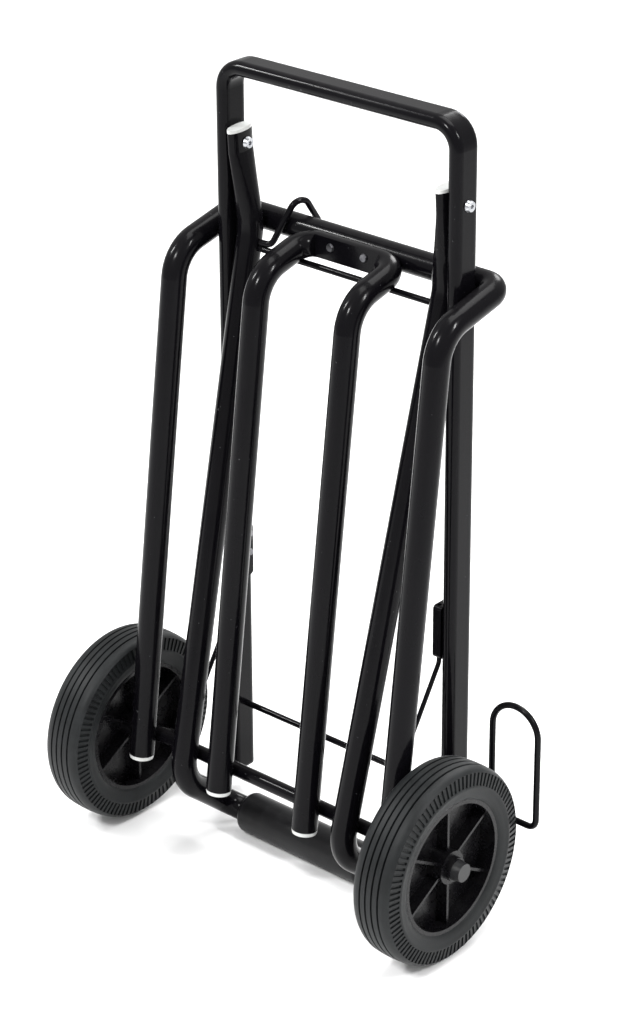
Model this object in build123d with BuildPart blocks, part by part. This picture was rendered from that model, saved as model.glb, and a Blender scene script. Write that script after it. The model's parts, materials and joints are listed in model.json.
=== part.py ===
from build123d import *
import os
from math import hypot

# A two-wheeled hand truck of bent steel tube with a four-tine fork stored on its frame.
# +X is to the right, +Y towards the load side, +Z up. The user stands on the -Y side.
# The origin is the middle of the foot sleeve's flat sole, on the ground. Units are mm.

# ---------------------------------------------------------------- driving dimensions
wheel_diameter = 250.0
wheel_width = 60.0
wheel_x = 254.0
foot_ahead = 57.5          # the foot bar stands this far on the load side of the axle
axle_radius = 9.0
groove_pitch = 9.0         # four grooves round each tread
groove_width = 2.4
groove_depth = 3.5

round_radius = 16.0        # the 32 mm round tube of legs and fork
round_wall = 2.0
oval_depth = 40.0          # the flat-oval tube of the front frame, along Y
oval_width = 19.0
oval_wall = 1.5
wire_radius = 4.0          # the wheel guard's rod and loop

frame_height = 999.5       # top face of the handle bar
upright_x = 177.5
upright_setback = 127.5    # upright centre line, measured from the axle towards the load
upright_foot = 35.0        # clear height under the uprights
handle_bend = 29.0

leg_top_x = 151.5
leg_foot_x = 131.0
leg_flat = 17.0            # thickness of a leg's flattened top
flat_length = 26.0
sleeve_radius = 26.0
sleeve_half = 100.5
sole_depth = 1.0           # how far the sole is cut into the round sleeve

fork_outer_x = 204.0
fork_inner_x = 71.0
crossbar_height = 790.0
heel_setback = 56.0
heel_height = 765.0
tine_foot_height = 108.0

bolt_radius = 4.0
bolt_height = 895.0
latch_setback = 130.0
latch_height = 763.0
latch_radius = 4.0
running_fit = 0.06
hole_fit = 0.2             # radial room around a bolt
touch = 0.05               # gap between faces that lie against each other

strut_x = 161.0            # wire braces between the uprights and the axle
strut_radius = 3.0
bracket_length = 70.0
bracket_wall = 2.0
screw_radius = 2.5

base_flat = 14.0           # thickness of the inner fork's flattened base
rivet_x = 26.0
rivet_radius = 3.0

# ---------------------------------------------------------------- derived places
axle_y = -foot_ahead
axle_z = wheel_diameter / 2
upright_y = axle_y + upright_setback
handle_z = frame_height - oval_width / 2
foot_z = sleeve_radius - sole_depth
knee_y = axle_y + 132.0
knee_z = axle_z + 660.0
shin_z = axle_z - 25.0
crossbar_y = upright_y + oval_depth / 2 + round_radius + 0.7
heel_y = axle_y + heel_setback
latch_y = axle_y + latch_setback
taper_start = 14.0         # a leg is round up to here, measured up from its knee
taper_end = 100.0          # and pressed flat from here up
top_lean = 0.068           # run over rise of the top of a leg
leg_start = (leg_top_x, knee_y - top_lean * taper_start, knee_z + taper_start)
flat_x = upright_x - oval_width / 2 - leg_flat / 2 - hole_fit
flat_start = (flat_x, knee_y - top_lean * taper_end, knee_z + taper_end)
guard_y = axle_y + wheel_diameter / 2 + wire_radius + 3.0
hub_half = wheel_width / 2 + 1.0
strut_y = axle_y + 116.0
bracket_low = axle_z + 192.0
bracket_high = bracket_low + bracket_length
bracket_face = upright_x - oval_width / 2 - touch
screw_y = upright_y
screw_heights = (bracket_low + 32.0, bracket_low + 58.0)
base_y = crossbar_y - round_radius - base_flat / 2
base_z = crossbar_height - 3.0


def beside_axle(slope_run, slope_rise, gap):
    """Distance behind the axle of a slanting tube that passes it with this gap."""
    return (axle_radius + round_radius + gap) * hypot(slope_run, slope_rise) / slope_rise


tine_rise = heel_height - axle_z
tine_run = heel_setback + round_radius + axle_radius
tine_at_axle = axle_y - beside_axle(tine_run, tine_rise, 0.5)
tine_lean = (heel_y - tine_at_axle) / tine_rise
tine_foot_y = tine_at_axle - tine_lean * (axle_z - tine_foot_height)
leg_rise = knee_z - axle_z
leg_at_axle = axle_y - beside_axle(knee_y - axle_y + 25.0, leg_rise, 0.05)
leg_lean = (knee_y - leg_at_axle) / leg_rise
shin_y = leg_at_axle - leg_lean * (axle_z - shin_z)

parts_folder = "parts"
os.makedirs(parts_folder, exist_ok=True)


def save(node, label):
    """Labels a finished piece and writes its STEP file."""
    node.part.label = label
    export_step(node.part, f"{parts_folder}/{label}.step")
    print(f"{label}: {len(node.part.solids())} solids, {node.part.volume / 1000:.1f} cm3")


def round_tube(corners, radii, outer, wall):
    """A round tube along straight runs joined by tangent bends. A wall of 0 makes it solid."""
    with BuildPart() as tube:
        with BuildLine() as centre_line:
            FilletPolyline(*corners, radius=radii)
        start = Plane(origin=centre_line.line @ 0, z_dir=centre_line.line % 0)
        with BuildSketch(start):
            Circle(outer)
            if wall > 0:
                Circle(outer - wall, mode=Mode.SUBTRACT)
        sweep(path=centre_line.line)
    return tube.part


# ---------------------------------------------------------------- front frame
def make_front_frame():
    """The inverted U of flat-oval tube that is both the uprights and the handle."""
    with BuildPart() as front_frame:
        with BuildLine() as centre_line:
            FilletPolyline(
                (-upright_x, upright_y, upright_foot),
                (-upright_x, upright_y, handle_z),
                (upright_x, upright_y, handle_z),
                (upright_x, upright_y, upright_foot),
                radius=handle_bend,
            )
        with BuildSketch(Plane.XY.offset(upright_foot)):
            with Locations((-upright_x, upright_y)):
                SlotOverall(oval_depth, oval_width, rotation=90)
                SlotOverall(
                    oval_depth - 2 * oval_wall, oval_width - 2 * oval_wall,
                    rotation=90, mode=Mode.SUBTRACT,
                )
        sweep(path=centre_line.line)
        with Locations((0, upright_y, bolt_height)):
            Cylinder(bolt_radius + hole_fit, 3 * upright_x, rotation=(0, 90, 0), mode=Mode.SUBTRACT)
        with Locations((0, guard_y, axle_z)):
            Cylinder(wire_radius, 3 * upright_x, rotation=(0, 90, 0), mode=Mode.SUBTRACT)
    save(front_frame, "front_frame")


def make_upright_plugs():
    """Plugs that close the lower ends of the two uprights."""
    plug_rim = 3.0
    plug_stem = 14.0
    with BuildPart() as plugs:
        with BuildSketch(Plane.XY.offset(upright_foot - plug_rim)):
            with Locations((-upright_x, upright_y), (upright_x, upright_y)):
                SlotOverall(oval_depth, oval_width, rotation=90)
        extrude(amount=plug_rim)
        fillet(plugs.edges().group_by(Axis.Z)[0], radius=1.2)
        with BuildSketch(Plane.XY.offset(upright_foot)):
            with Locations((-upright_x, upright_y), (upright_x, upright_y)):
                SlotOverall(oval_depth - 2 * oval_wall, oval_width - 2 * oval_wall, rotation=90)
        extrude(amount=plug_stem)
    save(plugs, "upright_plugs")


# ---------------------------------------------------------------- rear legs and foot
def leg_flat_plane(side, offset=0.0):
    """Section plane of a leg's flattened top, offset upwards along it."""
    lean = Vector(0, flat_start[1] - leg_start[1], flat_start[2] - leg_start[2]).normalized()
    origin = Vector(side * flat_start[0], flat_start[1], flat_start[2]) + lean * offset
    return Plane(origin=origin, x_dir=(1, 0, 0), z_dir=lean)


def leg_top(side, wall):
    """The upper end of one leg: round tube pressed flat where it is bolted to the upright."""
    lean = leg_flat_plane(side).z_dir
    with BuildPart() as top:
        with BuildSketch(Plane(
            origin=(side * leg_start[0], leg_start[1], leg_start[2]), x_dir=(1, 0, 0), z_dir=lean
        )):
            Circle(round_radius - wall)
        with BuildSketch(leg_flat_plane(side)):
            Ellipse(leg_flat / 2 - wall, oval_depth / 2 - wall)
        loft()
        with BuildSketch(leg_flat_plane(side)):
            Ellipse(leg_flat / 2 - wall, oval_depth / 2 - wall)
        extrude(amount=flat_length)
    return top.part


def make_rear_legs():
    """One bent tube: two legs, their forward bend under the axle, and the foot bar."""
    corners = [
        (-leg_start[0], leg_start[1], leg_start[2]),
        (-leg_top_x, knee_y, knee_z),
        (-leg_foot_x, shin_y, shin_z),
        (-leg_foot_x, 0, foot_z),
        (leg_foot_x, 0, foot_z),
        (leg_foot_x, shin_y, shin_z),
        (leg_top_x, knee_y, knee_z),
        (leg_start[0], leg_start[1], leg_start[2]),
    ]
    tube = round_tube(corners, [70, 50, 30, 30, 50, 70], round_radius, round_wall)
    with BuildPart() as rear_legs:
        add(tube)
        for side in (-1, 1):
            add(leg_top(side, 0.0))
            add(leg_top(side, round_wall), mode=Mode.SUBTRACT)
        with Locations((0, upright_y, bolt_height)):
            Cylinder(bolt_radius + hole_fit, 3 * upright_x, rotation=(0, 90, 0), mode=Mode.SUBTRACT)
        with Locations((0, latch_y, latch_height)):
            Cylinder(latch_radius + running_fit, 3 * upright_x, rotation=(0, 90, 0), mode=Mode.SUBTRACT)
    save(rear_legs, "rear_leg_frame")


def make_leg_plugs():
    """White plugs in the flattened upper ends of the legs."""
    cap_height = 4.0
    stem_length = 12.0
    inset = round_wall + 0.02
    with BuildPart() as plugs:
        for side in (-1, 1):
            with BuildSketch(leg_flat_plane(side, flat_length)):
                Ellipse(leg_flat / 2, oval_depth / 2)
            extrude(amount=cap_height)
            with BuildSketch(leg_flat_plane(side, flat_length)):
                Ellipse(leg_flat / 2 - inset, oval_depth / 2 - inset)
            extrude(amount=-stem_length)
    save(plugs, "leg_plugs")


def make_foot_sleeve():
    """Thick rubber sleeve on the foot bar, with a narrow flat sole."""
    with BuildPart() as sleeve:
        with BuildSketch(Plane.YZ.offset(-sleeve_half)):
            with Locations((0, foot_z)):
                Circle(sleeve_radius)
        extrude(amount=2 * sleeve_half)
        fillet(sleeve.edges(), radius=7.0)
        with BuildSketch(Plane.YZ.offset(-sleeve_half)):
            with Locations((0, foot_z)):
                Circle(round_radius)
        extrude(amount=2 * sleeve_half, mode=Mode.SUBTRACT)
        with Locations((0, 0, -sleeve_radius)):
            Box(3 * sleeve_half, 3 * sleeve_radius, 2 * sleeve_radius, mode=Mode.SUBTRACT)
    save(sleeve, "foot_sleeve")


# ---------------------------------------------------------------- bolts that join the two frames
def make_frame_bolts():
    """Bolts through each upright and leg top, heads towards +X, and their nuts."""
    head_radius = 7.5
    head_height = 4.5
    socket_half = 2.5          # half the width across flats of the hexagon socket
    socket_depth = 2.5
    nut_height = 6.0
    nut_half = 6.5
    thread_end = nut_height + 2.0
    inner_face = flat_x - leg_flat / 2
    outer_face = upright_x + oval_width / 2
    with BuildPart() as bolts:
        for head_face, far_face in ((-inner_face, -outer_face), (outer_face, inner_face)):
            with BuildSketch(Plane.YZ.offset(far_face - thread_end)):
                with Locations((upright_y, bolt_height)):
                    Circle(bolt_radius)
            extrude(amount=head_face - far_face + thread_end)
            with BuildSketch(Plane.YZ.offset(head_face)):
                with Locations((upright_y, bolt_height)):
                    Circle(head_radius)
            extrude(amount=head_height, taper=18)
            with BuildSketch(Plane.YZ.offset(head_face + head_height)):
                with Locations((upright_y, bolt_height)):
                    RegularPolygon(socket_half, 6, major_radius=False)
            extrude(amount=-socket_depth, mode=Mode.SUBTRACT)
    save(bolts, "frame_bolts")
    with BuildPart() as nuts:
        for far_face in (-outer_face, inner_face):
            with BuildSketch(Plane.YZ.offset(far_face - nut_height)):
                with Locations((upright_y, bolt_height)):
                    RegularPolygon(nut_half, 6, major_radius=False)
                    Circle(bolt_radius, mode=Mode.SUBTRACT)
            extrude(amount=nut_height)
    save(nuts, "frame_nuts")


# ---------------------------------------------------------------- axle, guard and struts
def make_axle():
    """Solid axle welded across the load side of both legs."""
    cap_seat = 7.5
    with BuildPart() as axle:
        with Locations((0, axle_y, axle_z)):
            Cylinder(axle_radius, 2 * (wheel_x + hub_half + cap_seat), rotation=(0, 90, 0))
        chamfer(axle.edges(), length=1.0)
    save(axle, "axle")


def make_wheel_guard():
    """One bent wire: a rod through both uprights whose right end rises as a loop by the wheel."""
    loop_outer = 300.0
    loop_inner = 232.0
    loop_rise = 155.0
    corner = 12.0
    rod_end = -(upright_x + oval_width / 2 + 8.0)
    arch_z = axle_z + loop_rise - (loop_outer - loop_inner) / 2
    with BuildPart() as guard:
        with BuildLine(Plane.XZ.offset(-guard_y)) as centre_line:
            rod = Line((rod_end, axle_z), (loop_outer - corner, axle_z))
            turn = TangentArc(rod @ 1, (loop_outer, axle_z + corner), tangent=rod % 1)
            rise = Line(turn @ 1, (loop_outer, arch_z))
            arch = TangentArc(rise @ 1, (loop_inner, arch_z), tangent=rise % 1)
            Line(arch @ 1, (loop_inner, axle_z + 2 * wire_radius))
        with BuildSketch(Plane.YZ.offset(rod_end)):
            with Locations((guard_y, axle_z)):
                Circle(wire_radius)
        sweep(path=centre_line.line)
        with BuildSketch(Plane.XY.offset(axle_z)):
            with Locations((loop_inner, guard_y)):
                Circle(wire_radius)
        extrude(amount=3 * wire_radius)
    save(guard, "wheel_guard")


def make_strut(side, label):
    """Wire brace from the bracket on an upright down to an eye around the axle."""
    eye_radius = axle_radius + 2 * strut_radius
    eye_half = strut_radius + 0.6
    bend = 14.0
    corners = [
        (side * strut_x, strut_y, bracket_high - 2 * strut_radius),
        (side * strut_x, strut_y, bracket_low - 8.0),
        (side * strut_x, axle_y + eye_radius / 2, axle_z + eye_radius * 0.77),
    ]
    wire = round_tube(corners, bend, strut_radius, 0.0)
    with BuildPart() as strut:
        add(wire)
        with BuildSketch(Plane.YZ.offset(side * strut_x - eye_half)):
            with Locations((axle_y, axle_z)):
                Circle(eye_radius)
        extrude(amount=2 * eye_half)
        with Locations((side * strut_x, axle_y, axle_z)):
            Cylinder(axle_radius, 8 * strut_radius, rotation=(0, 90, 0), mode=Mode.SUBTRACT)
    save(strut, label)


def make_bracket(side, label):
    """Folded plate that clamps the strut's upper end to the inner face of an upright."""
    plate_width = 24.0
    plate_y = strut_y + 5.5
    plate_inner = strut_x - strut_radius - bracket_wall
    middle_x = (bracket_face + plate_inner) / 2
    middle_z = bracket_low + bracket_length / 2
    with BuildPart() as bracket:
        with Locations((side * middle_x, plate_y, middle_z)):
            Box(bracket_face - plate_inner, plate_width, bracket_length)
        fillet(bracket.edges().filter_by(Axis.X), radius=5.0)
        with Locations((side * strut_x, strut_y, middle_z)):
            Cylinder(strut_radius, 2 * bracket_length, mode=Mode.SUBTRACT)
        with Locations((0, screw_y, screw_heights[0]), (0, screw_y, screw_heights[1])):
            Cylinder(screw_radius, 3 * upright_x, rotation=(0, 90, 0), mode=Mode.SUBTRACT)
    save(bracket, label)


def make_bracket_screws():
    """Two dome-headed screws through each strut bracket, tapped into the upright's wall."""
    head_radius = 4.5
    head_height = 2.5
    head_face = strut_x - strut_radius - bracket_wall
    with BuildPart() as screws:
        for side in (-1, 1):
            for height in screw_heights:
                with BuildSketch(Plane.YZ.offset(side * head_face)):
                    with Locations((screw_y, height)):
                        Circle(head_radius)
                extrude(amount=-side * head_height, taper=20)
                with BuildSketch(Plane.YZ.offset(side * head_face)):
                    with Locations((screw_y, height)):
                        Circle(screw_radius)
                extrude(amount=side * (bracket_face - head_face))
    save(screws, "bracket_screws")


# ---------------------------------------------------------------- fork
def make_outer_fork():
    """The wide U of the fork: two outer tines, short arms beside the uprights, and the crossbar."""
    corners = [
        (-fork_outer_x, tine_foot_y, tine_foot_height),
        (-fork_outer_x, heel_y, heel_height),
        (-fork_outer_x, crossbar_y, crossbar_height),
        (fork_outer_x, crossbar_y, crossbar_height),
        (fork_outer_x, heel_y, heel_height),
        (fork_outer_x, tine_foot_y, tine_foot_height),
    ]
    tube = round_tube(corners, [48, 19, 19, 48], round_radius, round_wall)
    with BuildPart() as outer_fork:
        add(tube)
        with Locations((-rivet_x, crossbar_y, crossbar_height), (rivet_x, crossbar_y, crossbar_height)):
            Cylinder(rivet_radius, 4 * round_radius, rotation=(90, 0, 0), mode=Mode.SUBTRACT)
    save(outer_fork, "outer_fork")


def make_inner_fork():
    """The narrow U: two inner tines whose base is pressed flat and riveted to the crossbar."""
    corners = [
        (-fork_inner_x, tine_foot_y, tine_foot_height),
        (-fork_inner_x, heel_y, heel_height),
        (-fork_inner_x, base_y, base_z),
        (fork_inner_x, base_y, base_z),
        (fork_inner_x, heel_y, heel_height),
        (fork_inner_x, tine_foot_y, tine_foot_height),
    ]
    tube = round_tube(corners, [48, 26, 26, 48], round_radius, round_wall)
    arm_slope = (base_z - heel_height) / (base_y - heel_y)
    core_reach = 34.0          # how far up each arm the pressed metal fills the tube
    core_y = base_y - core_reach
    core_z = base_z - core_reach * arm_slope
    core = [
        (-fork_inner_x, core_y, core_z),
        (-fork_inner_x, base_y, base_z),
        (fork_inner_x, base_y, base_z),
        (fork_inner_x, core_y, core_z),
    ]
    pressed_metal = round_tube(core, 26, round_radius - round_wall / 2, 0.0)
    cutter = 100.0
    with BuildPart() as inner_fork:
        add(tube)
        add(pressed_metal)
        with Locations((0, base_y + (base_flat + cutter) / 2, base_z)):
            Box(4 * fork_inner_x, cutter, cutter, mode=Mode.SUBTRACT)
        with Locations((0, base_y - (base_flat + round_radius) / 2, base_z)):
            Box(cutter, round_radius, cutter, mode=Mode.SUBTRACT)
        with Locations((-rivet_x, base_y, crossbar_height), (rivet_x, base_y, crossbar_height)):
            Cylinder(rivet_radius, 4 * round_radius, rotation=(90, 0, 0), mode=Mode.SUBTRACT)
    save(inner_fork, "inner_fork")


def make_fork_rivets():
    """Two rivets through the flattened base and the crossbar."""
    head_radius = 5.5
    head_height = 2.5
    front = base_y - base_flat / 2
    shank = crossbar_y - front + round_radius
    with BuildPart() as rivets:
        for rivet_side in (-rivet_x, rivet_x):
            with BuildSketch(Plane.XZ.offset(-front)):
                with Locations((rivet_side, crossbar_height)):
                    Circle(head_radius)
            extrude(amount=head_height, taper=25)
            with BuildSketch(Plane.XZ.offset(-front)):
                with Locations((rivet_side, crossbar_height)):
                    Circle(rivet_radius)
            extrude(amount=-shank)
    save(rivets, "fork_rivets")


def make_tine_plugs():
    """White plugs in the lower ends of the four tines."""
    down = Vector(0, tine_foot_y - heel_y, tine_foot_height - heel_height).normalized()
    cap_height = 5.0
    stem_length = 14.0
    with BuildPart() as plugs:
        for tine_x in (-fork_outer_x, -fork_inner_x, fork_inner_x, fork_outer_x):
            end = Plane(origin=(tine_x, tine_foot_y, tine_foot_height), x_dir=(1, 0, 0), z_dir=down)
            with BuildSketch(end):
                Circle(round_radius)
            extrude(amount=cap_height, taper=12)
            with BuildSketch(end):
                Circle(round_radius - round_wall)
            extrude(amount=-stem_length)
    save(plugs, "tine_plugs")


# ---------------------------------------------------------------- latch
def make_latch():
    """A rod that turns in both legs and a wire hook on it that reaches over the crossbar."""
    rod_half = leg_top_x + round_radius + 0.3
    with BuildPart() as latch_rod:
        with Locations((0, latch_y, latch_height)):
            Cylinder(latch_radius, 2 * (rod_half - 1.0), rotation=(0, 90, 0))
        chamfer(latch_rod.edges(), length=0.8)
    save(latch_rod, "latch_rod")
    hook_x = -97.0
    seat_z = latch_height + 2 * latch_radius
    hook = round_tube(
        [
            (-134.0, latch_y, seat_z),
            (-118.0, latch_y + 2.0, seat_z),
            (hook_x, crossbar_y - 2.7, crossbar_height + 3 * round_radius),
            (hook_x, crossbar_y + 2 * round_radius - 3.0, crossbar_height + 2.0),
        ],
        [9.0, 14.0],
        latch_radius, 0.0,
    )
    with BuildPart() as latch_hook:
        add(hook)
    save(latch_hook, "latch_hook")


# ---------------------------------------------------------------- wheels
def make_wheel(side, name):
    """A solid rubber tyre on a spoked plastic hub with a plain bearing bush."""
    tyre_radius = wheel_diameter / 2
    rim_radius = 85.0
    rim_bore = 80.0
    rim_half = 25.0
    half = wheel_width / 2
    web_half = 2.5
    spoke_half = 18.0
    spoke_length = 64.0
    boss_half = 24.0
    bush_radius = 12.0
    shoulder = [(half, rim_radius + 7.0), (half, 108.0), (half - 3.0, 118.0), (half - 9.0, 123.5)]
    wheel_plane = Plane(origin=(side * wheel_x, axle_y, axle_z), x_dir=(0, 1, 0), z_dir=(1, 0, 0))
    section = Plane(origin=(side * wheel_x, axle_y, axle_z), x_dir=(1, 0, 0), z_dir=(0, -1, 0))
    turn = Axis((side * wheel_x, axle_y, axle_z), (1, 0, 0))
    with BuildPart() as tyre:
        with BuildSketch(section):
            with BuildLine():
                right_wall = Polyline((0, rim_radius), (rim_half, rim_radius), *shoulder, (0, tyre_radius))
                mirror(right_wall, about=Plane.YZ)
            make_face()
            with GridLocations(groove_pitch, 1, 4, 1):
                with Locations((0, tyre_radius)):
                    Rectangle(groove_width, 2 * groove_depth, mode=Mode.SUBTRACT)
        revolve(axis=turn)
    save(tyre, f"{name}_tyre")
    with BuildPart() as hub:
        with BuildSketch(wheel_plane.offset(-rim_half)):
            Circle(rim_radius)
            Circle(rim_bore, mode=Mode.SUBTRACT)
        extrude(amount=2 * rim_half)
        with BuildSketch(wheel_plane.offset(-web_half)):
            Circle(rim_bore + 1.0)
        extrude(amount=2 * web_half)
        with BuildSketch(wheel_plane.offset(-spoke_half)):
            with PolarLocations(rim_bore + 2.0 - spoke_length / 2, 6, start_angle=30):
                Rectangle(spoke_length, 3.6)
        extrude(amount=2 * spoke_half)
        with BuildSketch(wheel_plane.offset(-boss_half)):
            Circle(21.0)
        extrude(amount=2 * boss_half)
        with BuildSketch(wheel_plane.offset(-hub_half)):
            Circle(15.0)
        extrude(amount=2 * hub_half)
        with BuildSketch(wheel_plane.offset(-hub_half)):
            Circle(bush_radius)
        extrude(amount=2 * hub_half, mode=Mode.SUBTRACT)
    save(hub, f"{name}_hub")
    with BuildPart() as bush:
        with BuildSketch(wheel_plane.offset(-hub_half)):
            Circle(bush_radius)
            Circle(axle_radius + running_fit, mode=Mode.SUBTRACT)
        extrude(amount=2 * hub_half)
    save(bush, f"{name}_bush")


def make_axle_fittings():
    """Washers on the inner side of each wheel and push-on caps on the axle's ends."""
    washer_radius = 16.0
    washer_thickness = 1.6
    end_play = 0.5
    cap_radius = 13.0
    cap_height = 11.0
    cap_bore_depth = 7.1
    inner_face = wheel_x - hub_half - end_play
    cap_start = wheel_x + hub_half + end_play
    with BuildPart() as washers:
        for plane_x in (-inner_face, inner_face - washer_thickness):
            with BuildSketch(Plane.YZ.offset(plane_x)):
                with Locations((axle_y, axle_z)):
                    Circle(washer_radius)
                    Circle(axle_radius, mode=Mode.SUBTRACT)
            extrude(amount=washer_thickness)
    save(washers, "axle_washers")
    with BuildPart() as caps:
        for side in (-1, 1):
            with BuildSketch(Plane.YZ.offset(side * cap_start)):
                with Locations((axle_y, axle_z)):
                    Circle(cap_radius)
            extrude(amount=side * cap_height, taper=8)
            with BuildSketch(Plane.YZ.offset(side * cap_start)):
                with Locations((axle_y, axle_z)):
                    Circle(axle_radius)
            extrude(amount=side * cap_bore_depth, mode=Mode.SUBTRACT)
    save(caps, "axle_caps")


make_front_frame()
make_upright_plugs()
make_rear_legs()
make_leg_plugs()
make_foot_sleeve()
make_frame_bolts()
make_axle()
make_wheel_guard()
make_strut(-1, "left_strut")
make_strut(1, "right_strut")
make_bracket(-1, "left_strut_bracket")
make_bracket(1, "right_strut_bracket")
make_bracket_screws()
make_outer_fork()
make_inner_fork()
make_fork_rivets()
make_tine_plugs()
make_latch()
make_wheel(-1, "left")
make_wheel(1, "right")
make_axle_fittings()
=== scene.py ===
import json
import math

import bpy
from mathutils import Matrix, Vector


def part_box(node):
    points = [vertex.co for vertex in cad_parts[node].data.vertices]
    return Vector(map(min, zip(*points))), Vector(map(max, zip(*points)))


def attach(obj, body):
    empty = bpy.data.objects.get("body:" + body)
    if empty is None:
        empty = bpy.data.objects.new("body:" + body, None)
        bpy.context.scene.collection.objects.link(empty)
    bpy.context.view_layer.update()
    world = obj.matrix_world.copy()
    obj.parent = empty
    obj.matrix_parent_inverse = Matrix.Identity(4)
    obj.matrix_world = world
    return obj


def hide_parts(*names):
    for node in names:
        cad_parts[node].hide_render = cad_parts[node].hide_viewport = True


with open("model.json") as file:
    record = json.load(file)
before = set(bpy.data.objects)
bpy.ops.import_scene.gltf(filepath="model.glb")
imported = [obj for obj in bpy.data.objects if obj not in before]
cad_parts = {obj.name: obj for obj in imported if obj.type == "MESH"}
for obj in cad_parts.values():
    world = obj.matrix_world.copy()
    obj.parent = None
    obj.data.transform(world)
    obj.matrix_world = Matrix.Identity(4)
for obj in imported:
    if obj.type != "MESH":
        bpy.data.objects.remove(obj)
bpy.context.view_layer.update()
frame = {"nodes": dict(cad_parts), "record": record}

# %% [markdown]
# This lesson dresses a two-wheeled hand truck. The tubes, bolts and plugs come from the CAD
# frame at their real size.

# %% [markdown]
# The camera comes first. A product shot of a tall truck is taken with a long lens from the
# user's right, a little above the handle. The lens is shifted so that the uprights stay
# upright. We give the camera its place, the direction it looks back along, and a small roll.

# %% Camera
camera_place = Vector((2.196, -2.4705, 2.0855))
camera_azimuth = 0.7234
camera_elevation = 0.4021
camera_roll = -0.0055
back = Vector((
    math.sin(camera_azimuth) * math.cos(camera_elevation),
    -math.cos(camera_azimuth) * math.cos(camera_elevation),
    math.sin(camera_elevation),
))
level = Vector((math.cos(camera_azimuth), math.sin(camera_azimuth), 0.0))
upward = back.cross(level)
right = level * math.cos(camera_roll) + upward * math.sin(camera_roll)
above = upward * math.cos(camera_roll) - level * math.sin(camera_roll)
bpy.ops.object.camera_add()
camera = bpy.context.object
camera.name = "camera"
camera.matrix_world = Matrix.Translation(camera_place) @ Matrix((right, above, back)).transposed().to_4x4()
camera.data.lens = 107.68
camera.data.shift_y = -0.15
camera.data.clip_end = 60.0
bpy.context.scene.camera = camera
print("camera at", tuple(camera_place), "lens", camera.data.lens)

# %% [markdown]
# A pale floor and soft lamps give black paint its shape: the paint itself is almost
# invisible, and what we see is what it mirrors. Upright tubes mirror the floor, so they stay
# even and dark. The lamps hang high, where only a bend can mirror them, and each bend gets a
# short bright streak. A broad lamp above lights rubber and plastic. The Standard view keeps
# black black and the floor white.

# %% Floor, world and lamps
bpy.ops.mesh.primitive_plane_add(size=60.0)
floor = bpy.context.object
floor.name = "studio_floor"
world = bpy.data.worlds.new("studio")
world.use_nodes = True
world.node_tree.nodes["Background"].inputs["Color"].default_value = (1.0, 1.0, 1.0, 1.0)
world.node_tree.nodes["Background"].inputs["Strength"].default_value = 0.80
bpy.context.scene.world = world
bpy.context.scene.view_settings.view_transform = "Standard"
middle = Vector((0.0, 0.0, 0.5))


def softbox(name, place, width, height, power):
    """A rectangular lamp at a place, turned to face the truck's middle."""
    bpy.ops.object.light_add(type="AREA", location=place)
    lamp = bpy.context.object
    lamp.name = name
    lamp.data.shape = "RECTANGLE"
    lamp.data.size = width
    lamp.data.size_y = height
    lamp.data.energy = power
    lamp.rotation_euler = (middle - Vector(place)).to_track_quat("-Z", "Y").to_euler()
    return lamp


softbox("lamp_left", (-2.8, -1.8, 3.2), 0.28, 0.9, 90.0)
softbox("lamp_right", (3.0, 0.4, 3.0), 0.28, 0.9, 80.0)
softbox("lamp_front", (0.2, -3.2, 3.6), 0.5, 0.6, 110.0)
softbox("lamp_above", (0.2, 0.8, 3.8), 2.2, 2.2, 90.0)
softbox("lamp_behind", (-0.8, 3.2, 2.6), 1.2, 1.2, 60.0)

# %% [markdown]
# Shader graphs read well as arithmetic. One small class wraps a node's output and lets us
# write `1 - mask` or `a * b`, each of which adds the Math node we would have placed by hand.
# A second class is the bench on which one material is built: its `node` method adds any other
# node, first with its settings, then with the values or links of its sockets.

# %% Signals and the material bench
class Signal:
    """A node's output that can be used in Python arithmetic."""

    def __init__(self, bench, socket):
        self.bench = bench
        self.socket = socket

    def maths(self, operation, first, second):
        settings = {"operation": operation}
        return self.bench.node("ShaderNodeMath", settings, {0: first, 1: second})

    def __add__(self, other):
        return self.maths("ADD", self, other)

    def __radd__(self, other):
        return self.maths("ADD", other, self)

    def __sub__(self, other):
        return self.maths("SUBTRACT", self, other)

    def __rsub__(self, other):
        return self.maths("SUBTRACT", other, self)

    def __mul__(self, other):
        return self.maths("MULTIPLY", self, other)

    def __rmul__(self, other):
        return self.maths("MULTIPLY", other, self)

    def __pow__(self, other):
        return self.maths("POWER", self, other)

    def over(self, edge):
        return self.maths("GREATER_THAN", self, edge)


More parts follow.
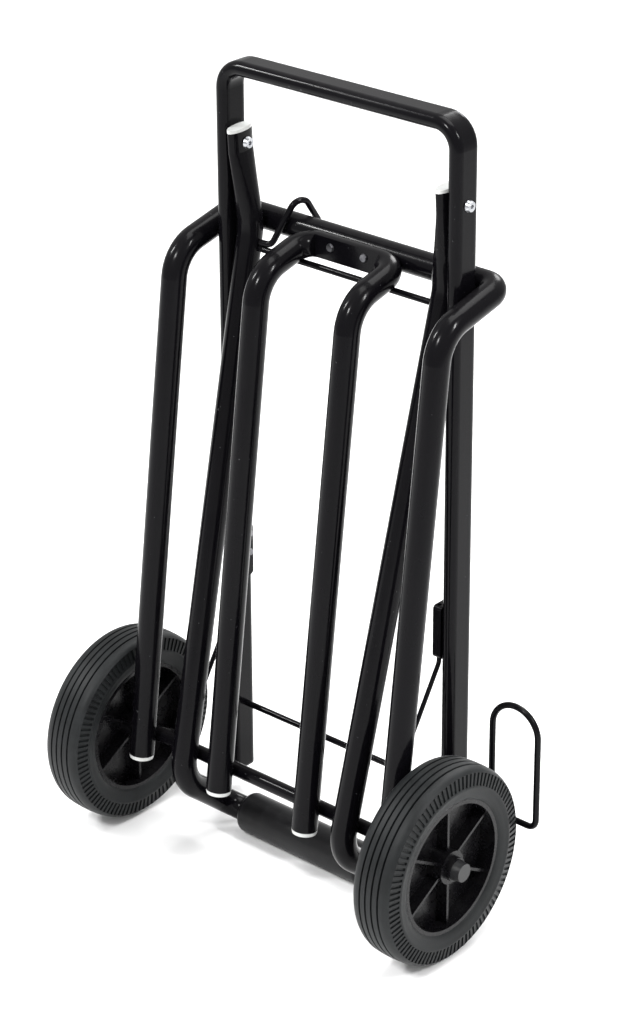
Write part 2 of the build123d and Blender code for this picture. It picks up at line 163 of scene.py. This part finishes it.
class Bench:
    """One material being built around its Principled shader."""

    def __init__(self, name, **constants):
        self.material = bpy.data.materials.new(name)
        self.material.use_nodes = True
        self.tree = self.material.node_tree
        self.shader = self.tree.nodes["Principled BSDF"]
        for socket, value in constants.items():
            self.shader.inputs[socket.replace("_", " ")].default_value = value
        self.place = self.node("ShaderNodeTexCoord", {}, {}, "Object")

    def plug(self, socket, value):
        if isinstance(value, Signal):
            self.tree.links.new(value.socket, socket)
        else:
            socket.default_value = value

    def node(self, kind, settings, inputs, output=0):
        made = self.tree.nodes.new(kind)
        for setting, value in settings.items():
            if setting == "stops":
                for stop, (position, shade) in zip(made.color_ramp.elements, value):
                    stop.position = position
                    stop.color = (shade, shade, shade, 1.0)
            else:
                setattr(made, setting, value)
        for socket, value in inputs.items():
            self.plug(made.inputs[socket], value)
        return Signal(self, made.outputs[output])

    def noise(self, scale, detail=3.0, roughness=0.55):
        inputs = {"Vector": self.place, "Scale": scale, "Detail": detail, "Roughness": roughness}
        return self.node("ShaderNodeTexNoise", {}, inputs, "Fac")

    def ramp(self, value, low, high):
        stops = [(low, 0.0), (high, 1.0)]
        return self.node("ShaderNodeValToRGB", {"stops": stops}, {"Fac": value})

    def blend(self, amount, first, second):
        inputs = {"Factor": amount, 6: first, 7: second}
        return self.node("ShaderNodeMix", {"data_type": "RGBA"}, inputs, 2)

    def bump(self, height, strength, distance):
        inputs = {"Height": height, "Strength": strength, "Distance": distance}
        return self.node("ShaderNodeBump", {}, inputs, "Normal")

    def upward(self):
        """How much the surface faces the ceiling, from 0 to 1: where dust settles."""
        normal = self.node("ShaderNodeNewGeometry", {}, {}, "Normal")
        height = self.node("ShaderNodeSeparateXYZ", {}, {"Vector": normal}, "Z")
        return self.node("ShaderNodeClamp", {}, {"Value": height})

    def finish(self, **links):
        for socket, value in links.items():
            self.plug(self.shader.inputs[socket.replace("_", " ")], value)
        return self.material


print("bench ready")

# %% [markdown]
# Baked black enamel is nearly black, very smooth, and never quite flat: close up it has a fine
# orange-peel ripple. Handling leaves a faint haze where hands and straps rub, a little dust
# lies on what faces up, and tiny chips show grey primer. Each of these is one noise, and none
# is strong enough to see before the gloss is.

# %% Black enamel
def black_enamel(name, ripple_scale, chip_edge):
    bench = Bench(name, Coat_Roughness=0.06, IOR=1.5, Specular_IOR_Level=0.07)
    haze = bench.ramp(bench.noise(9.0, 4.0), 0.45, 0.75)
    dust = bench.upward() ** 3.0 * bench.noise(60.0, 5.0)
    chips = bench.noise(210.0, 2.0).over(chip_edge)
    paint = bench.blend(haze, (0.0022, 0.0020, 0.0028, 1), (0.0040, 0.0038, 0.0046, 1))
    dusty = bench.blend(dust * 0.03, paint, (0.22, 0.21, 0.20, 1))
    chipped = bench.blend(chips, dusty, (0.05, 0.05, 0.053, 1))
    ripple = bench.bump(bench.noise(ripple_scale, 2.0), 0.10, 0.0006)
    roughness = 0.16 + haze * 0.08 + dust * 0.12 + chips * 0.25
    return bench.finish(
        Base_Color=chipped, Roughness=roughness, Coat_Weight=0.05 - haze * 0.02, Normal=ripple,
    )


tube_enamel = black_enamel("tube_enamel", 240.0, 0.755)
wire_enamel = black_enamel("wire_enamel", 420.0, 0.765)
print("enamels:", tube_enamel.name, wire_enamel.name)

# %% [markdown]
# Zinc-plated steel is bright but cloudy, and its plating is a little uneven. Bare dark steel
# on rivets and screws is the same metal with an oxide skin, so one function makes both.

# %% Steel
def plated_steel(name, light, dark, roughness):
    bench = Bench(name, Metallic=1.0)
    cloud = bench.ramp(bench.noise(120.0, 4.0), 0.35, 0.7)
    stains = bench.ramp(bench.noise(45.0, 5.0, 0.7), 0.58, 0.72)
    colour = bench.blend(stains * 0.5, bench.blend(cloud, dark, light), dark)
    grain = bench.bump(bench.noise(900.0, 2.0), 0.12, 0.0002)
    return bench.finish(
        Base_Color=colour, Roughness=roughness + cloud * 0.12 + stains * 0.15, Normal=grain,
    )


zinc = plated_steel("zinc", (0.56, 0.57, 0.59, 1), (0.34, 0.35, 0.37, 1), 0.26)
dark_steel = plated_steel("dark_steel", (0.20, 0.20, 0.21, 1), (0.10, 0.10, 0.11, 1), 0.30)
print("steels:", zinc.name, dark_steel.name)

# %% [markdown]
# The plastics differ in colour and grain only. The white plugs are smooth and slightly
# scuffed, the hubs are black nylon with a fine moulded grain, and the small caps are the same
# nylon. Grime gathers in a plastic's pores, so the darker noise also roughens it.

# %% Plastics
def moulded_plastic(name, clean, grimy, roughness, grain_depth, gloss=0.5):
    bench = Bench(name, IOR=1.5, Specular_IOR_Level=gloss)
    grime = bench.ramp(bench.noise(70.0, 5.0, 0.65), 0.48, 0.78)
    colour = bench.blend(grime * 0.6, clean, grimy)
    grain = bench.bump(bench.noise(1300.0, 2.0), 0.25, grain_depth)
    return bench.finish(Base_Color=colour, Roughness=roughness + grime * 0.18, Normal=grain)


white_plastic = moulded_plastic(
    "white_plastic", (0.60, 0.61, 0.60, 1), (0.40, 0.39, 0.36, 1), 0.30, 0.0001
)
hub_nylon = moulded_plastic(
    "hub_nylon", (0.0040, 0.0038, 0.0046, 1), (0.0085, 0.0080, 0.0080, 1), 0.26, 0.0003, 0.20
)
cap_plastic = moulded_plastic(
    "cap_plastic", (0.014, 0.014, 0.015, 1), (0.030, 0.029, 0.028, 1), 0.34, 0.0002, 0.35
)
bush_plastic = moulded_plastic(
    "bush_plastic", (0.55, 0.54, 0.50, 1), (0.30, 0.28, 0.24, 1), 0.40, 0.0001
)
print("plastics ready")

# %% [markdown]
# Tyre rubber is a matte charcoal with a soft sheen. It is scuffed paler in patches, and
# dust sits in it as broad clouds. The foot sleeve is a smoother, blacker rubber.

# %% Rubber
def rubber(name, black, scuffed, roughness, scuff_low):
    bench = Bench(name, IOR=1.5, Specular_IOR_Level=0.20)
    scuffs = bench.ramp(bench.noise(28.0, 6.0, 0.7), scuff_low, 0.78)
    specks = bench.noise(500.0, 3.0)
    colour = bench.blend(scuffs * 0.7 + specks * 0.12, black, scuffed)
    skin = bench.bump(specks + bench.noise(150.0, 3.0) * 0.6, 0.22, 0.0005)
    return bench.finish(Base_Color=colour, Roughness=roughness + scuffs * 0.14, Normal=skin)


tyre_rubber = rubber("tyre_rubber", (0.0050, 0.0058, 0.0062, 1), (0.016, 0.018, 0.019, 1), 0.46, 0.40)
sleeve_rubber = rubber("sleeve_rubber", (0.0045, 0.0044, 0.0050, 1), (0.014, 0.014, 0.015, 1), 0.36, 0.5)
print("rubbers ready")

# %% [markdown]
# Each CAD node now gets its finish. The record says which material slot a node belongs to, so
# one table from slot to finish dresses them all.

# %% Dress the CAD nodes
finish_of_slot = {
    "black_gloss_paint": tube_enamel,
    "black_wire": wire_enamel,
    "dark_steel": dark_steel,
    "zinc_steel": zinc,
    "black_plastic": cap_plastic,
    "white_plastic": white_plastic,
    "sleeve_rubber": sleeve_rubber,
    "tyre_rubber": tyre_rubber,
    "hub_plastic": hub_nylon,
    "bush_plastic": bush_plastic,
}
for row in frame["record"]["subparts"]:
    node = frame["nodes"][row["node"]]
    node.data.materials.clear()
    node.data.materials.append(finish_of_slot[row["material_slot"]])

# %% [markdown]
# The floor is painted too. Its faint clouds keep a large white plane from looking like paper,
# and they are weak enough that nobody would notice them as a pattern.

# %% Floor finish
def floor_paint():
    bench = Bench("floor_paint")
    clouds = bench.noise(0.7, 3.0)
    shade = bench.blend(clouds, (0.93, 0.93, 0.93, 1), (0.96, 0.96, 0.96, 1))
    return bench.finish(Base_Color=shade, Roughness=0.6 + clouds * 0.05)


floor.data.materials.append(floor_paint())
print("floor finish:", floor.data.materials[0].name)

# %% [markdown]
# The tyre needs more than the frame gives it: four grooves round the tread and fine ribs on
# both walls. By hand, one draws a ring of many sides, then extrudes its edge again and again,
# moving it along the axle and scaling it to follow the tyre's section. That is what the next
# cell does. A half section is enough of a list, because the other half is its mirror image.

# %% Helpers for hand modelling
def only(piece):
    """Selects one object, and nothing else."""
    bpy.ops.object.select_all(action="DESELECT")
    piece.select_set(True)
    bpy.context.view_layer.objects.active = piece


def turn_ring(name, centre, section, sides):
    """Spins a section of (along the axle, radius) pairs by extruding a ring's edge."""
    bpy.ops.object.select_all(action="DESELECT")
    along, radius = section[0]
    bpy.ops.mesh.primitive_circle_add(
        vertices=sides, radius=radius, location=centre + Vector((along, 0, 0)),
        rotation=(0, math.pi / 2, 0),
    )
    ring = bpy.context.object
    ring.name = name
    bpy.ops.object.transform_apply(location=True, rotation=True, scale=True)
    bpy.ops.object.mode_set(mode="EDIT")
    bpy.ops.mesh.select_mode(type="EDGE")
    bpy.ops.mesh.select_all(action="SELECT")
    for step_along, step_radius in section[1:]:
        bpy.ops.mesh.extrude_edges_move(
            TRANSFORM_OT_translate={"value": (step_along - along, 0, 0)}
        )
        grow = step_radius / radius
        bpy.ops.transform.resize(
            value=(1, grow, grow), center_override=centre + Vector((step_along, 0, 0))
        )
        along, radius = step_along, step_radius
    bpy.ops.mesh.select_all(action="SELECT")
    bpy.ops.mesh.remove_doubles(threshold=0.00001)
    bpy.ops.mesh.normals_make_consistent(inside=False)
    bpy.ops.object.mode_set(mode="OBJECT")
    return ring


def smooth(piece, degrees):
    only(piece)
    bpy.ops.object.shade_smooth_by_angle(angle=math.radians(degrees))


# %% Tyre section
low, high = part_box("left_tyre")
left_wheel_centre = (low + high) / 2
tyre_radius = (high.z - low.z) / 2
half_width = (high.x - low.x) / 2
bead_radius = 0.085
rib_inner = 0.1030
rib_outer = tyre_radius - 0.0062
groove_depth = 0.0032
groove_half = 0.0013
tyre_sides = 192


def tread_radius(along):
    """The tread is slightly crowned: highest in the middle."""
    return tyre_radius - 0.0016 * (along / 0.022) ** 2


groove_shape = [(-1.0, 0.0), (-0.6, groove_depth), (0.6, groove_depth), (1.0, 0.0)]
half_section = []
for groove in (0.0045, 0.0135):
    for offset, drop in groove_shape:
        along = groove + offset * groove_half
        half_section.append((along, tread_radius(along) - drop))
half_section += [
    (0.0185, tread_radius(0.0185)), (0.0222, tyre_radius - 0.0024), (0.0252, tyre_radius - 0.0042),
    (0.0270, rib_outer), (half_width - 0.0006, rib_inner),
    (half_width, rib_inner - 0.0014), (half_width, rib_inner - 0.0030),
    (half_width - 0.0006, rib_inner - 0.0044), (half_width - 0.0012, 0.0940),
    (half_width - 0.0028, 0.0885), (0.0254, bead_radius + 0.0006), (0.0246, bead_radius),
]
section = [(-along, radius) for along, radius in reversed(half_section)] + half_section
section.append(section[0])
print("tyre section points:", len(section))

# %% [markdown]
# The ribs come last. We pick every second face of the shoulder bands, inset each one by
# itself, and let the inset sink: what is left between two sunken faces is a rib.

# %% Tyres
def sink_faces(piece, centre, least, most, thickness, depth, minimum_side):
    """Insets every second face between two radii on both walls, and sinks it."""
    only(piece)
    bpy.ops.object.mode_set(mode="EDIT")
    bpy.ops.mesh.select_mode(type="FACE")
    bpy.ops.mesh.select_all(action="DESELECT")
    bpy.ops.object.mode_set(mode="OBJECT")
    step = 2 * math.pi / tyre_sides
    for face in piece.data.polygons:
        arm = face.center - centre
        radius = math.hypot(arm.y, arm.z)
        sector = int((math.atan2(arm.z, arm.y) + math.pi) / step)
        on_wall = abs(arm.x) > minimum_side and least < radius < most
        face.select = on_wall and sector % 2 == 0
    picked = sum(face.select for face in piece.data.polygons)
    bpy.ops.object.mode_set(mode="EDIT")
    bpy.ops.mesh.inset(use_individual=True, thickness=thickness, depth=depth)
    bpy.ops.object.mode_set(mode="OBJECT")
    print(piece.name, "sunken faces:", picked)


def dress(piece, finish, slot, body, *nodes):
    piece.data.materials.clear()
    piece.data.materials.append(finish)
    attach(piece, body)
    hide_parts(*nodes)


left_tyre_piece = turn_ring("tyre_left", left_wheel_centre, section, tyre_sides)
sink_faces(left_tyre_piece, left_wheel_centre, rib_inner, rib_outer, 0.00035, -0.0019, 0.0265)
smooth(left_tyre_piece, 32.0)
only(left_tyre_piece)
bpy.ops.object.duplicate()
right_tyre_piece = bpy.context.object
right_tyre_piece.name = "tyre_right"
bpy.ops.transform.translate(value=(-2 * left_wheel_centre.x, 0, 0))
bpy.ops.object.transform_apply(location=True, rotation=True, scale=True)
dress(left_tyre_piece, tyre_rubber, "tyre_rubber", "left_wheel", "left_tyre")
dress(right_tyre_piece, tyre_rubber, "tyre_rubber", "right_wheel", "right_tyre")
